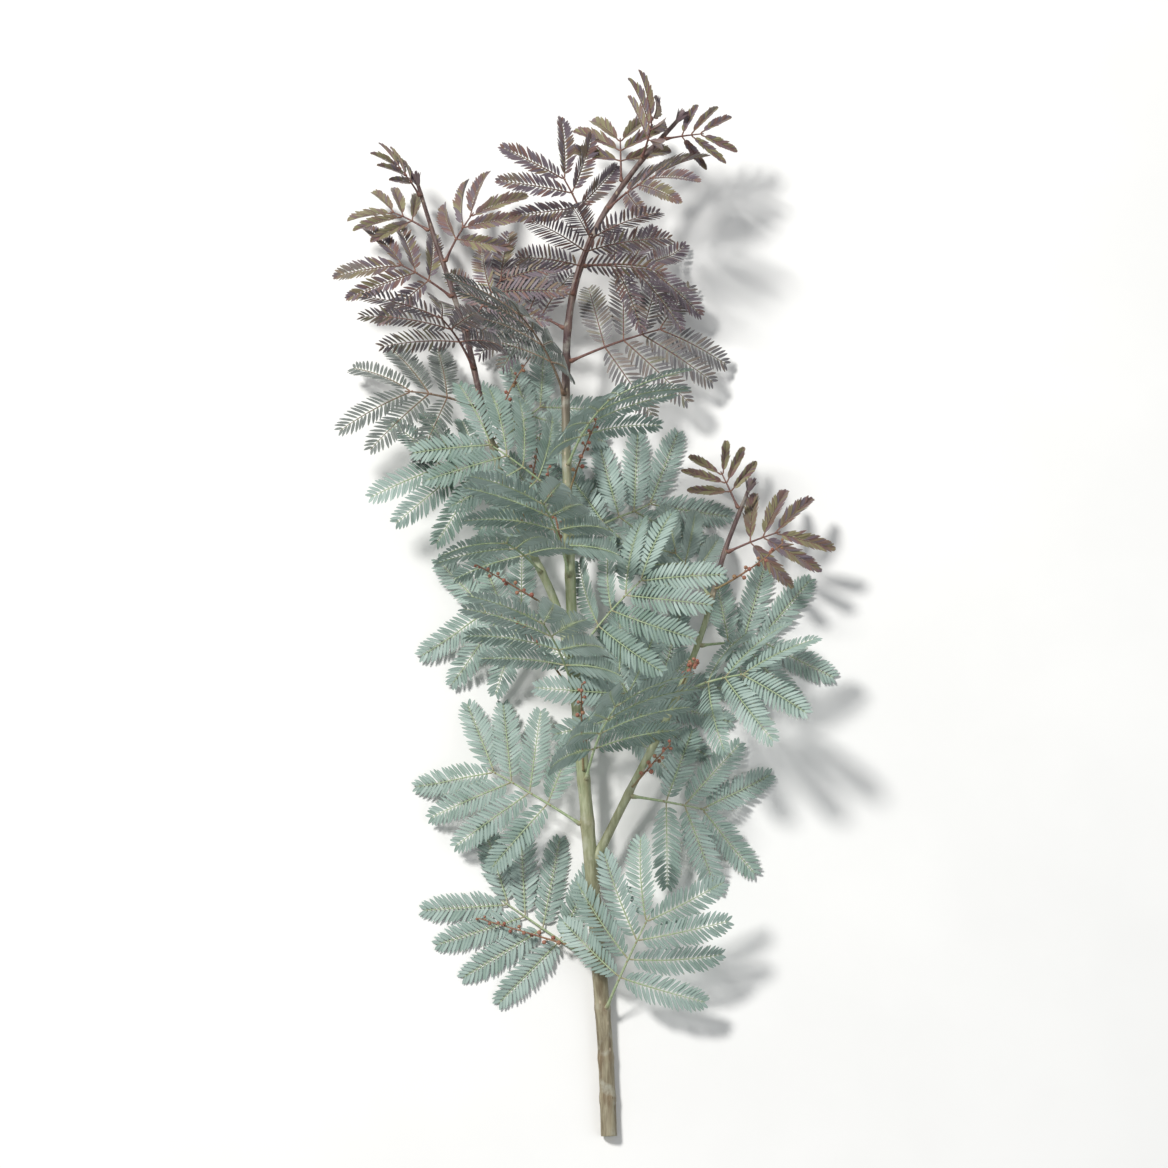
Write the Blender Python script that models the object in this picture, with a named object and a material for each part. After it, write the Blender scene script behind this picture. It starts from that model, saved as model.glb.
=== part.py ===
"""A cut mimosa sprig lying on a surface: a woody stem with two side shoots, feathery leaves and racemes of buds.

Seen from above, +Y runs from the cut end to the tip and +X is to the right. The origin is the flat spot under
the cut end, on which the stem rests. Routes are in millimetres; everything that is built is in metres.
"""

import math
import random

import bmesh
import bpy
from mathutils import Matrix, Vector
from mathutils.bvhtree import BVHTree

MM = 0.001
UP = Vector((0, 0, 1))
SEED = 11

# Centre lines as (x, y, height) in mm: the main stem, then the shoots that fork from it.
STEM_ROUTE = [
    (0, -9, 2.6), (-1, 18, 2.7), (-3, 48, 4.6), (-8, 110, 12), (-14, 180, 18), (-17, 250, 23),
    (-18, 310, 27), (-15, 345, 30), (-5, 374, 33), (12, 400, 37), (31, 421, 42),
]
LEFT_ROUTE = [
    (-13, 172, 17), (-22, 210, 19), (-40, 250, 20), (-52, 290, 20),
    (-60, 325, 20), (-68, 352, 21), (-76, 376, 23), (-83, 398, 27),
]
RIGHT_ROUTE = [
    (-7, 100, 11), (8, 130, 14), (26, 165, 17), (40, 200, 19), (49, 232, 21), (60, 260, 25),
]

# Growth rules for each shoot, in mm: root and tip radius, where leaves start, their spacing at the foot and at
# the tip, the turn of the first leaf, and how far from the tip leaves are still growing and are bronze.
SHOOTS = {
    "main": dict(route=STEM_ROUTE, radii=(3.3, 0.9), first=52, gaps=(20.5, 12.5), turn=70, growing=95, bronze=148),
    "left": dict(route=LEFT_ROUTE, radii=(1.9, 0.8), first=34, gaps=(22, 14.5), turn=-100, growing=85, bronze=115),
    "right": dict(route=RIGHT_ROUTE, radii=(1.8, 0.8), first=34, gaps=(26, 18), turn=120, growing=70, bronze=48),
}
GOLDEN_TURN = 137.5
AGE_POWER = 0.6
SMALLEST_SIZE = 0.30
AZIMUTH_SHARE = 0.64  # leaves that would point at the surface are pushed out to the sides
STEM_SIDES = 8
RING_STEP = 20 * MM

# A full-grown leaf.
PETIOLE = 6 * MM
PAIR_STEP = 12.5 * MM
PINNA_LENGTH = 37 * MM
PINNA_HALF_WIDTH = 6.2 * MM
RACHIS_HALF_WIDTH = 0.6 * MM
RACHIS_HALF_THICK = 0.5 * MM
BLADE_HALF_THICK = 0.34 * MM
RIB_HALF_WIDTH = 0.55 * MM
PINNA_BASE = 1.5 * MM
LOWEST_PINNA_ANGLE = math.radians(80)
LAST_PINNA_ANGLE = math.radians(38)

# How things lie.
SEAT_GAP = 0.3 * MM
PRESS_SOFTNESS = 1.5 * MM
EASE_HEIGHT = 22 * MM
EASE_REACH = 16 * MM
CLEAR_HALF_THICK = 0.85 * MM
TRIES = 110
SHRINK = 0.93

# Racemes of globe-shaped buds.
RACEME_LENGTH = 58 * MM
RACEME_RADIUS = 0.5 * MM
BUD_RADIUS = 1.5 * MM
BUD_STEP = 5.8 * MM
BUD_OFFSET = 1.25 * MM
RACEME_SPACING = 3.6 * MM


def spline(route, steps=24):
    """Points in metres along a smooth curve through the route."""
    knots = [Vector(p) * MM for p in route]
    knots = [knots[0] * 2 - knots[1]] + knots + [knots[-1] * 2 - knots[-2]]
    points = []
    for a, b, c, d in zip(knots, knots[1:], knots[2:], knots[3:]):
        for i in range(steps):
            t = i / steps
            points.append(
                (b * 2 + (c - a) * t + (a * 2 - b * 5 + c * 4 - d) * t**2 + (b * 3 - a - c * 3 + d) * t**3) / 2
            )
    return points + [knots[-2]]


class Shoot:
    """A stem: its centre line by distance along it, and its radius."""

    def __init__(self, name, route, radii, first, gaps, turn, growing, bronze):
        self.name = name
        self.points = spline(route)
        self.root_radius, self.tip_radius = (r * MM for r in radii)
        self.first, self.growing, self.bronze = first * MM, growing * MM, bronze * MM
        self.turn = turn
        self.gaps = [g * MM for g in gaps]
        self.along = [0.0]
        for a, b in zip(self.points, self.points[1:]):
            self.along.append(self.along[-1] + (b - a).length)
        self.length = self.along[-1]

    def at(self, s):
        """Centre and direction at distance s."""
        s = min(max(s, 0.0), self.length)
        i = next((i for i, a in enumerate(self.along[1:]) if a >= s), len(self.along) - 2)
        share = (s - self.along[i]) / (self.along[i + 1] - self.along[i])
        step = self.points[i + 1] - self.points[i]
        return self.points[i] + step * share, step.normalized()

    def radius(self, s):
        return self.root_radius + (self.tip_radius - self.root_radius) * (s / self.length) ** 1.2

    def outward(self, s, azimuth):
        """The direction away from the centre line: azimuth 0 is up, positive is to the right."""
        _, forward = self.at(s)
        up = (UP - forward * UP.dot(forward)).normalized()
        return up * math.cos(azimuth) + forward.cross(up) * math.sin(azimuth)


def pressed(point, least):
    """The point, kept above the surface that the sprig lies on, as a leaf gives way where it meets it."""
    depth = (point.z - least) / PRESS_SOFTNESS
    rise = PRESS_SOFTNESS * (math.log1p(math.exp(-abs(depth))) + max(depth, 0.0))
    return Vector((point.x, point.y, least + rise))


def turned(vector, axis, angle):
    return Matrix.Rotation(angle, 3, axis) @ vector


def eased(point, direction, normal):
    """Near the surface a rachis levels out and its blade turns flat, as they do when they lie on it."""
    near = 1 - min(max(point.z / EASE_HEIGHT, 0.0), 1.0)
    lowest = -min(max(point.z - RACHIS_HALF_THICK, 0.0) / EASE_REACH, 1.0)
    if direction.z < lowest:
        level = Vector((direction.x, direction.y, 0)).normalized()
        direction = level * math.sqrt(1 - lowest**2) + UP * lowest
    normal = normal.lerp(UP if normal.z > 0 else -UP, near)
    return direction, (normal - direction * normal.dot(direction)).normalized()


def arc(start, direction, normal, length, bend, count):
    """count + 1 stations (point, direction, normal) on an arc that bends away from its normal."""
    stations = []
    point = start
    for i in range(count + 1):
        direction, normal = eased(point, direction, normal)
        stations.append((point, direction, normal))
        side = direction.cross(normal)
        direction = turned(direction, side, -bend / count)
        normal = turned(normal, side, -bend / count)
        point = point + direction * (length / count)
    return stations


def leaf_places():
    """Where each leaf grows, with its size and age, from the growth rules."""
    places = []
    for shoot in SHOOT_LIST:
        s, turn = shoot.first, shoot.turn
        while s < shoot.length - 3 * MM:
            from_tip = shoot.length - s
            age = min(1.0, from_tip / shoot.growing) ** AGE_POWER
            azimuth = (turn + 180) % 360 - 180
            places.append(dict(shoot=shoot, s=s, azimuth=azimuth * AZIMUTH_SHARE, age=age,
                               bronze=from_tip < shoot.bronze))
            s += shoot.gaps[0] + (shoot.gaps[1] - shoot.gaps[0]) * s / shoot.length
            turn += GOLDEN_TURN
    return places


def posed(place, draw, attempt):
    """One way for a leaf to stand at its place: its rachis and each of its pinnae as stations.
    Later attempts turn it further and make it smaller."""
    shoot, s, age = place["shoot"], place["s"], place["age"]
    scale = SHRINK ** (attempt // 10)
    swing = 18 + attempt
    azimuth = math.radians(place["azimuth"] + draw.uniform(-swing, swing))
    over_stem = max(0.0, math.cos(azimuth)) ** 2
    lean = math.radians((28 + 34 * age) * (1 - 0.35 * over_stem) + draw.uniform(-9, 9))
    centre, forward = shoot.at(s)
    out = shoot.outward(s, azimuth)
    direction = (out * math.sin(lean) + forward * math.cos(lean)).normalized()
    inner = (forward - direction * forward.dot(direction)).normalized()
    upper = (UP - direction * UP.dot(direction)).normalized()
    facing = 0.82 * abs(math.sin(azimuth)) ** 0.7
    normal = (inner * (1 - facing) + upper * facing).normalized()
    normal = turned(normal, direction, math.radians(draw.uniform(-16, 16)))
    side = direction.cross(normal)
    reach = RACHIS_HALF_WIDTH * abs(side.dot(out)) + RACHIS_HALF_THICK * abs(normal.dot(out))
    start = centre + out * (shoot.radius(s) + SEAT_GAP + reach)

    size = scale * (SMALLEST_SIZE + (1 - SMALLEST_SIZE) * age)
    pairs = 4 if age == 1 and shoot.name == "main" else 3
    length = size * (PETIOLE + PAIR_STEP * (pairs - 1)) + PINNA_BASE
    count = 2 * pairs + 2
    rachis = arc(start, direction, normal, length, math.radians(12 + 14 * age), count)
    pinnae = []
    for pair in range(pairs):
        station = rachis[count - 2 * (pairs - 1 - pair) - 1]
        share = pair / (pairs - 1)
        angle = LOWEST_PINNA_ANGLE + (LAST_PINNA_ANGLE - LOWEST_PINNA_ANGLE) * share
        angle *= 0.7 + 0.3 * age
        reach = PINNA_LENGTH * size * (0.80 + 0.24 * math.sin(math.pi * (0.25 + 0.55 * share)))
        for hand in (1, -1):
            way = turned(station[1], station[2], hand * angle)
            face = turned(station[2], way, hand * math.radians(-7 + draw.uniform(-6, 6)))
            droop = math.radians(16 + 12 * age + draw.uniform(-8, 8))
            pinnae.append(dict(pair=pair, hand=hand, way=way, face=face, droop=droop, length=reach,
                               half_width=PINNA_HALF_WIDTH * (0.5 + 0.5 * size) * (0.34 + 0.66 * age)))
    teeth = 3 if age > 0.78 else 2
    return dict(rachis=rachis, pinnae=pinnae, pairs=pairs, teeth=teeth, size=size)


def blade_half_width(share):
    """A pinna's outline: the share of its greatest half width at a share of its length."""
    return min(1.0, 0.5 + 1.5 * share) * math.sqrt(1 - ((share - 0.45) / 0.62) ** 2)


def leaf_sheet(pose):
    """The leaf as one sheet of triangles: a narrow strip for the rachis, and pinnae with their leaflets cut to the rib."""
    points, half, triangles = [], [], []

    def add(point, thick):
        points.append(point)
        half.append(thick)
        return len(points) - 1

    # Two stations for each pair of pinnae, its near and its far side, and the ones before them for the petiole.
    strip = []
    for point, direction, normal in pose["rachis"]:
        side = direction.cross(normal) * RACHIS_HALF_WIDTH
        strip.append((add(point + side, RACHIS_HALF_THICK), add(point - side, RACHIS_HALF_THICK)))
    for (right_a, left_a), (right_b, left_b) in zip(strip, strip[1:]):
        triangles += [(right_a, right_b, left_b), (right_a, left_b, left_a)]

    last = len(strip) - 1
    for pinna in pose["pinnae"]:
        near = last - 2 * (pose["pairs"] - 1 - pinna["pair"]) - 1
        if pinna["hand"] > 0:
            right, left = strip[near + 1][1], strip[near][1]
        else:
            right, left = strip[near][0], strip[near + 1][0]
        foot = (points[right] + points[left]) / 2
        teeth = pose["teeth"]
        ribs = arc(foot, pinna["way"], pinna["face"], pinna["length"], pinna["droop"], 2 * teeth)
        for tooth in range(1, teeth + 1):
            point, way, face = ribs[2 * tooth]
            side = way.cross(face)
            mid_point, mid_way, mid_face = ribs[2 * tooth - 1]
            out = mid_way.cross(mid_face)
            wide = pinna["half_width"] * blade_half_width((tooth - 0.35) / teeth)
            tip = mid_point + mid_way * (pinna["length"] / teeth * 0.42) - mid_face * (0.12 * wide)
            tip_right = add(tip + out * wide, BLADE_HALF_THICK)
            tip_left = add(tip - out * wide, BLADE_HALF_THICK)
            if tooth < teeth:
                next_right = add(point + side * RIB_HALF_WIDTH, BLADE_HALF_THICK)
                next_left = add(point - side * RIB_HALF_WIDTH, BLADE_HALF_THICK)
                triangles += [(right, next_right, next_left), (right, next_left, left)]
            else:
                next_right = next_left = add(point, BLADE_HALF_THICK)
                triangles += [(right, next_right, left)]
            triangles += [(right, tip_right, next_right), (left, next_left, tip_left)]
            right, left = next_right, next_left
    return [pressed(p, h) for p, h in zip(points, half)], half, triangles


def thickened(points, half, triangles):
    """A closed solid from a sheet: both faces are split into triangles alike."""
    normals = [Vector() for _ in points]
    for a, b, c in triangles:
        across = (points[b] - points[a]).cross(points[c] - points[a])
        for corner in (a, b, c):
            normals[corner] += across
    offsets = [n.normalized() * h for n, h in zip(normals, half)]
    count = len(points)
    corners = [p + o for p, o in zip(points, offsets)] + [p - o for p, o in zip(points, offsets)]
    corners = [Vector((p.x, p.y, max(p.z, 0.0))) for p in corners]
    faces = [(a, b, c) for a, b, c in triangles] + [(c + count, b + count, a + count) for a, b, c in triangles]
    edges = {(a, b) for t in triangles for a, b in zip(t, t[1:] + t[:1])}
    for a, b in sorted(edges):
        if (b, a) not in edges:
            faces += [(a, a + count, b + count), (a, b + count, b)]
    return corners, faces


def tube(stations, radii, sides, turn=0.0):
    """A closed tube through (point, direction) stations, with flat ends."""
    corners, faces = [], []
    for (point, direction), radius in zip(stations, radii):
        up = (UP - direction * UP.dot(direction)).normalized()
        across = direction.cross(up)
        for i in range(sides):
            angle = turn + 2 * math.pi * i / sides
            corners.append(point + (up * math.cos(angle) + across * math.sin(angle)) * radius)
    for ring in range(len(stations) - 1):
        for i in range(sides):
            a, b = ring * sides + i, ring * sides + (i + 1) % sides
            faces.append((a, b, b + sides, a + sides))
    faces.append(tuple(reversed(range(sides))))
    faces.append(tuple(range(len(corners) - sides, len(corners))))
    return corners, faces


def clear_of(tree, others):
    return not any(tree.overlap(other) for other in others)


def crosses_itself(corners, faces):
    """True where two faces that share no corner meet, as when one pinna cuts through the next."""
    tree = tree_of(corners, faces)
    return any(not set(faces[a]) & set(faces[b]) for a, b in tree.overlap(tree))


def tree_of(corners, faces):
    return BVHTree.FromPolygons(corners, faces)


def shoot_stations(shoot):
    rings = max(4, round(shoot.length / RING_STEP))
    return [shoot.length * i / rings for i in range(rings + 1)]


def shoot_tube(shoot, extra=0.0):
    """The stem's faceted tube. Its underside is flat where it rests."""
    marks = shoot_stations(shoot)
    corners, faces = tube([shoot.at(s) for s in marks], [shoot.radius(s) + extra for s in marks],
                          STEM_SIDES, math.pi / STEM_SIDES)
    return [Vector((p.x, p.y, max(p.z, 0.0))) for p in corners], faces


def grown_leaves(stems, taken):
    """A pose for each leaf in which it crosses nothing that is already there. Its foot may touch its own shoot."""
    draw = random.Random(SEED)
    leaves = []
    for place in leaf_places():
        own = stems[place["shoot"].name]
        others = [tree for name, tree in stems.items() if name != place["shoot"].name] + taken
        for attempt in range(TRIES):
            pose = posed(place, draw, attempt)
            points, half, triangles = leaf_sheet(pose)
            if crosses_itself(*thickened(points, half, triangles)):
                continue
            wide = [CLEAR_HALF_THICK] * len(points)
            whole = tree_of(*thickened(points, wide, triangles))
            past_foot = tree_of(*thickened(points, wide, [t for t in triangles if min(t) > 3]))
            if clear_of(whole, others) and clear_of(past_foot, [own]):
                taken.append(whole)
                leaves.append(dict(place, pose=pose))
                break
    return leaves


def raceme_buds(length):
    return int((length - 10 * MM) / BUD_STEP)


def grown_racemes(leaves, stems, taken):
    """A raceme in the axil of every other grown leaf, curved clear of the stems and leaves."""
    draw = random.Random(SEED + 1)
    racemes = []
    for leaf in leaves[1::2]:
        shoot, s = leaf["shoot"], leaf["s"] + RACEME_SPACING
        if leaf["bronze"] or s > 0.8 * shoot.length:
            continue
        for attempt in range(TRIES * 2):
            azimuth = math.radians(leaf["azimuth"] * 0.6 + draw.uniform(-70, 70))
            lean = math.radians(draw.uniform(18, 70))
            centre, forward = shoot.at(s)
            out = shoot.outward(s, azimuth)
            direction = (out * math.sin(lean) + forward * math.cos(lean)).normalized()
            normal = (forward - direction * forward.dot(direction)).normalized()
            start = centre + out * (shoot.radius(s) + SEAT_GAP + RACEME_RADIUS)
            length = RACEME_LENGTH * draw.uniform(0.65, 1.1) * (1 - 0.4 * attempt / (TRIES * 2))
            steps = raceme_buds(length) + 2
            path = arc(start, direction, normal, length, math.radians(draw.uniform(-35, 35)), steps)
            path = [(pressed(p, BUD_RADIUS * 2), d) for p, d, _ in path]
            radii = [RACEME_RADIUS + SEAT_GAP] + [BUD_RADIUS + BUD_OFFSET] * steps
            whole = tree_of(*tube(path, radii, 6))
            past_foot = tree_of(*tube(path[1:], radii[1:], 6))
            if clear_of(whole, taken) and clear_of(past_foot, stems.values()):
                taken.append(whole)
                racemes.append(dict(path=path, length=length, shoot=shoot, s=s))
                break
    return racemes


def clear_scene():
    for obj in list(bpy.data.objects):
        bpy.data.objects.remove(obj, do_unlink=True)


def material(name, colour, roughness):
    made = bpy.data.materials.new(name)
    made.use_nodes = True
    shader = made.node_tree.nodes["Principled BSDF"]
    shader.inputs["Base Color"].default_value = (*colour, 1)
    shader.inputs["Roughness"].default_value = roughness
    shader.inputs["Metallic"].default_value = 0.0
    return made


def solid(name, corners, faces, finish, sharp_deg=35):
    """An object from corners and faces, in the scene."""
    mesh = bpy.data.meshes.new(name)
    mesh.from_pydata([tuple(p) for p in corners], [], faces)
    mesh.materials.append(finish)
    mesh.shade_smooth()
    mesh.set_sharp_from_angle(angle=math.radians(sharp_deg))
    obj = bpy.data.objects.new(name, mesh)
    bpy.context.scene.collection.objects.link(obj)
    return obj


def union(obj, parts, solver="EXACT"):
    """Joins the parts to obj with one Boolean, and removes them."""
    group = bpy.data.collections.new(obj.name + "_parts")
    bpy.context.scene.collection.children.link(group)
    for part in parts:
        bpy.context.scene.collection.objects.unlink(part)
        group.objects.link(part)
    join = obj.modifiers.new("join", "BOOLEAN")
    join.operation = "UNION"
    join.operand_type = "COLLECTION"
    join.collection = group
    join.solver = solver
    bpy.context.view_layer.update()
    joined = bpy.data.meshes.new_from_object(obj.evaluated_get(bpy.context.evaluated_depsgraph_get()))
    obj.modifiers.clear()
    obj.data = joined
    for part in parts:
        bpy.data.objects.remove(part, do_unlink=True)
    bpy.data.collections.remove(group)


def bud(name, centre, radius, finish):
    """A small faceted globe."""
    mesh = bpy.data.meshes.new(name)
    ball = bmesh.new()
    bmesh.ops.create_uvsphere(ball, u_segments=5, v_segments=2, radius=radius, matrix=Matrix.Translation(centre))
    ball.to_mesh(mesh)
    ball.free()
    mesh.materials.append(finish)
    obj = bpy.data.objects.new(name, mesh)
    bpy.context.scene.collection.objects.link(obj)
    return obj


def make_stem(finish):
    main, *sides = SHOOT_LIST
    stem = solid("stem", *shoot_tube(main), finish)
    union(stem, [solid("side_" + shoot.name, *shoot_tube(shoot), finish) for shoot in sides])


def make_leaf(number, leaf, finish):
    name = ("young_leaf_" if leaf["bronze"] else "leaf_") + leaf["shoot"].name + f"_{number:02d}"
    solid(name, *thickened(*leaf_sheet(leaf["pose"])), finish)


def make_raceme(number, raceme, finish):
    """A thin axis with globe-shaped buds on alternate sides."""
    path = raceme["path"]
    radii = [RACEME_RADIUS * (1.15 - 0.5 * i / len(path)) for i in range(len(path))]
    axis = solid(f"raceme_{raceme['shoot'].name}_{number:02d}", *tube(path, radii, 4), finish)
    buds = []
    for i in range(2, len(path)):
        point, direction = path[i]
        around = direction.orthogonal().normalized()
        out = turned(around, direction, math.radians(GOLDEN_TURN) * i)
        radius = BUD_RADIUS * (1.0 - 0.35 * i / len(path))
        buds.append(bud(f"bud_{i}", point + out * BUD_OFFSET * radius / BUD_RADIUS, radius, finish))
    union(axis, buds)


SHOOT_LIST = [Shoot(name, **rules) for name, rules in SHOOTS.items()]


def main():
    clear_scene()
    bark = material("stem_bark", (0.30, 0.27, 0.17), 0.65)
    green = material("leaf_blue_green", (0.30, 0.44, 0.41), 0.6)
    bronze = material("leaf_bronze", (0.17, 0.10, 0.11), 0.55)
    red = material("raceme_red", (0.42, 0.19, 0.15), 0.6)

    stems = {shoot.name: tree_of(*shoot_tube(shoot, CLEAR_HALF_THICK)) for shoot in SHOOT_LIST}
    taken = []
    leaves = grown_leaves(stems, taken)
    racemes = grown_racemes(leaves, stems, taken)
    make_stem(bark)
    for number, leaf in enumerate(leaves, 1):
        make_leaf(number, leaf, bronze if leaf["bronze"] else green)
    for number, raceme in enumerate(racemes, 1):
        make_raceme(number, raceme, red)
    print(len(leaves), "leaves of", len(leaf_places()), "and", len(racemes), "racemes")


main()
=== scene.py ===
"""The looks of a cut mimosa sprig that lies on a surface, fitted to the frame of its solids.

The growth rules are those of the solids, with the same seeds, so that each finely made leaf and raceme
stands where its solid does. On that skeleton grow the leaflets, ribs, bracts, buds, hairs and bark.
Routes are in millimetres; everything that is built is in metres.
"""

import math
import random

import bpy
import numpy as np
from mathutils import Matrix, Vector, noise
from mathutils.bvhtree import BVHTree


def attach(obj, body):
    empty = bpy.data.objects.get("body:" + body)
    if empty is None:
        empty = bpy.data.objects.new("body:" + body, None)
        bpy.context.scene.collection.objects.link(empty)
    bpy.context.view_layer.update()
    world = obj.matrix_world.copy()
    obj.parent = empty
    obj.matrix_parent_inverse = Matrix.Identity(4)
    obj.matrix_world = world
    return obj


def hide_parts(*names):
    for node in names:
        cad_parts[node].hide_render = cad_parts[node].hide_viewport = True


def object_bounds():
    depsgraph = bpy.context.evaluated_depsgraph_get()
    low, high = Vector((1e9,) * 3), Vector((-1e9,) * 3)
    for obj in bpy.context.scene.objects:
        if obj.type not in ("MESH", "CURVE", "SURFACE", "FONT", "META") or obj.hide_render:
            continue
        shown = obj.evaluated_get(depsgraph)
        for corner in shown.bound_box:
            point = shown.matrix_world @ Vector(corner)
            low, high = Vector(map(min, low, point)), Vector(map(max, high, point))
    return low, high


MM = 0.001
UP = Vector((0, 0, 1))
SEED = 11

# Centre lines as (x, y, height) in mm: the main stem, then the shoots that fork from it.
STEM_ROUTE = [
    (0, -9, 2.6), (-1, 18, 2.7), (-3, 48, 4.6), (-8, 110, 12), (-14, 180, 18), (-17, 250, 23),
    (-18, 310, 27), (-15, 345, 30), (-5, 374, 33), (12, 400, 37), (31, 421, 42),
]
LEFT_ROUTE = [
    (-13, 172, 17), (-22, 210, 19), (-40, 250, 20), (-52, 290, 20),
    (-60, 325, 20), (-68, 352, 21), (-76, 376, 23), (-83, 398, 27),
]
RIGHT_ROUTE = [
    (-7, 100, 11), (8, 130, 14), (26, 165, 17), (40, 200, 19), (49, 232, 21), (60, 260, 25),
]

# Growth rules for each shoot, in mm: root and tip radius, where leaves start, their spacing at the foot
# and at the tip, the turn of the first leaf, and how far from the tip leaves still grow and are bronze.
SHOOTS = {
    "main": dict(route=STEM_ROUTE, radii=(3.3, 0.9), first=52, gaps=(20.5, 12.5), turn=70,
                 growing=95, bronze=148),
    "left": dict(route=LEFT_ROUTE, radii=(1.9, 0.8), first=34, gaps=(22, 14.5), turn=-100,
                 growing=85, bronze=115),
    "right": dict(route=RIGHT_ROUTE, radii=(1.8, 0.8), first=34, gaps=(26, 18), turn=120,
                  growing=70, bronze=48),
}
GOLDEN_TURN = 137.5
AGE_POWER = 0.6
SMALLEST_SIZE = 0.30
AZIMUTH_SHARE = 0.64  # leaves that would point at the surface are pushed out to the sides
STEM_SIDES = 8
RING_STEP = 20 * MM

# A full-grown leaf.
PETIOLE = 6 * MM
PAIR_STEP = 12.5 * MM
PINNA_LENGTH = 37 * MM
PINNA_HALF_WIDTH = 6.2 * MM
RACHIS_HALF_WIDTH = 0.6 * MM
RACHIS_HALF_THICK = 0.5 * MM
BLADE_HALF_THICK = 0.34 * MM
RIB_HALF_WIDTH = 0.55 * MM
PINNA_BASE = 1.5 * MM
LOWEST_PINNA_ANGLE = math.radians(80)
LAST_PINNA_ANGLE = math.radians(38)

# How things lie.
SEAT_GAP = 0.3 * MM
PRESS_SOFTNESS = 1.5 * MM
EASE_HEIGHT = 22 * MM
EASE_REACH = 16 * MM
CLEAR_HALF_THICK = 0.85 * MM
TRIES = 110
SHRINK = 0.93

# Racemes of globe-shaped buds.
RACEME_LENGTH = 58 * MM
RACEME_RADIUS = 0.5 * MM
BUD_RADIUS = 1.5 * MM
BUD_STEP = 5.8 * MM
BUD_OFFSET = 1.25 * MM
RACEME_SPACING = 3.6 * MM


def between(a, b, c, d, t):
    """The point at share t of the way from b to c, on a smooth curve through all four."""
    bend = (a * 2 - b * 5 + c * 4 - d) * t**2
    return (b * 2 + (c - a) * t + bend + (b * 3 - a - c * 3 + d) * t**3) / 2


def grounded(point):
    """The point, lifted to the surface that the sprig lies on if it is below."""
    return Vector((point.x, point.y, max(point.z, 0.0)))


def side_faces(rings, sides):
    """The faces between rings of corners that follow one another."""
    faces = []
    for ring in range(rings - 1):
        for i in range(sides):
            a, b = ring * sides + i, ring * sides + (i + 1) % sides
            faces.append((a, b, b + sides, a + sides))
    return faces


def first_cap(sides):
    return tuple(reversed(range(sides)))


def last_cap(count, sides):
    return tuple(range(count - sides, count))


def spline(route, steps=24):
    """Points in metres along a smooth curve through the route."""
    knots = [Vector(p) * MM for p in route]
    knots = [knots[0] * 2 - knots[1]] + knots + [knots[-1] * 2 - knots[-2]]
    points = []
    for a, b, c, d in zip(knots, knots[1:], knots[2:], knots[3:]):
        points += [between(a, b, c, d, i / steps) for i in range(steps)]
    return points + [knots[-2]]


class Shoot:
    """A stem: its centre line by distance along it, and its radius."""

    def __init__(self, name, route, radii, first, gaps, turn, growing, bronze):
        self.name = name
        self.points = spline(route)
        self.root_radius, self.tip_radius = (r * MM for r in radii)
        self.first, self.growing, self.bronze = first * MM, growing * MM, bronze * MM
        self.turn = turn
        self.gaps = [g * MM for g in gaps]
        self.along = [0.0]
        for a, b in zip(self.points, self.points[1:]):
            self.along.append(self.along[-1] + (b - a).length)
        self.length = self.along[-1]

    def at(self, s):
        """Centre and direction at distance s."""
        s = min(max(s, 0.0), self.length)
        i = next((i for i, a in enumerate(self.along[1:]) if a >= s), len(self.along) - 2)
        share = (s - self.along[i]) / (self.along[i + 1] - self.along[i])
        step = self.points[i + 1] - self.points[i]
        return self.points[i] + step * share, step.normalized()

    def radius(self, s):
        return self.root_radius + (self.tip_radius - self.root_radius) * (s / self.length) ** 1.2

    def outward(self, s, azimuth):
        """The direction away from the centre line: azimuth 0 is up, positive is to the right."""
        _, forward = self.at(s)
        up = (UP - forward * UP.dot(forward)).normalized()
        return up * math.cos(azimuth) + forward.cross(up) * math.sin(azimuth)


def pressed(point, least):
    """The point, kept above the surface, as a leaf gives way where it meets it."""
    depth = (point.z - least) / PRESS_SOFTNESS
    rise = PRESS_SOFTNESS * (math.log1p(math.exp(-abs(depth))) + max(depth, 0.0))
    return Vector((point.x, point.y, least + rise))


def turned(vector, axis, angle):
    return Matrix.Rotation(angle, 3, axis) @ vector


def eased(point, direction, normal):
    """Near the surface a rachis levels out and its blade turns flat, as they do when they lie on it."""
    near = 1 - min(max(point.z / EASE_HEIGHT, 0.0), 1.0)
    lowest = -min(max(point.z - RACHIS_HALF_THICK, 0.0) / EASE_REACH, 1.0)
    if direction.z < lowest:
        level = Vector((direction.x, direction.y, 0)).normalized()
        direction = level * math.sqrt(1 - lowest**2) + UP * lowest
    normal = normal.lerp(UP if normal.z > 0 else -UP, near)
    return direction, (normal - direction * normal.dot(direction)).normalized()


def arc(start, direction, normal, length, bend, count):
    """count + 1 stations (point, direction, normal) on an arc that bends away from its normal."""
    stations = []
    point = start
    for i in range(count + 1):
        direction, normal = eased(point, direction, normal)
        stations.append((point, direction, normal))
        side = direction.cross(normal)
        direction = turned(direction, side, -bend / count)
        normal = turned(normal, side, -bend / count)
        point = point + direction * (length / count)
    return stations


def leaf_places():
    """Where each leaf grows, with its size and age, from the growth rules."""
    places = []
    for shoot in SHOOT_LIST:
        s, turn = shoot.first, shoot.turn
        while s < shoot.length - 3 * MM:
            from_tip = shoot.length - s
            age = min(1.0, from_tip / shoot.growing) ** AGE_POWER
            azimuth = (turn + 180) % 360 - 180
            places.append(dict(shoot=shoot, s=s, azimuth=azimuth * AZIMUTH_SHARE, age=age,
                               bronze=from_tip < shoot.bronze))
            s += shoot.gaps[0] + (shoot.gaps[1] - shoot.gaps[0]) * s / shoot.length
            turn += GOLDEN_TURN
    return places


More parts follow.
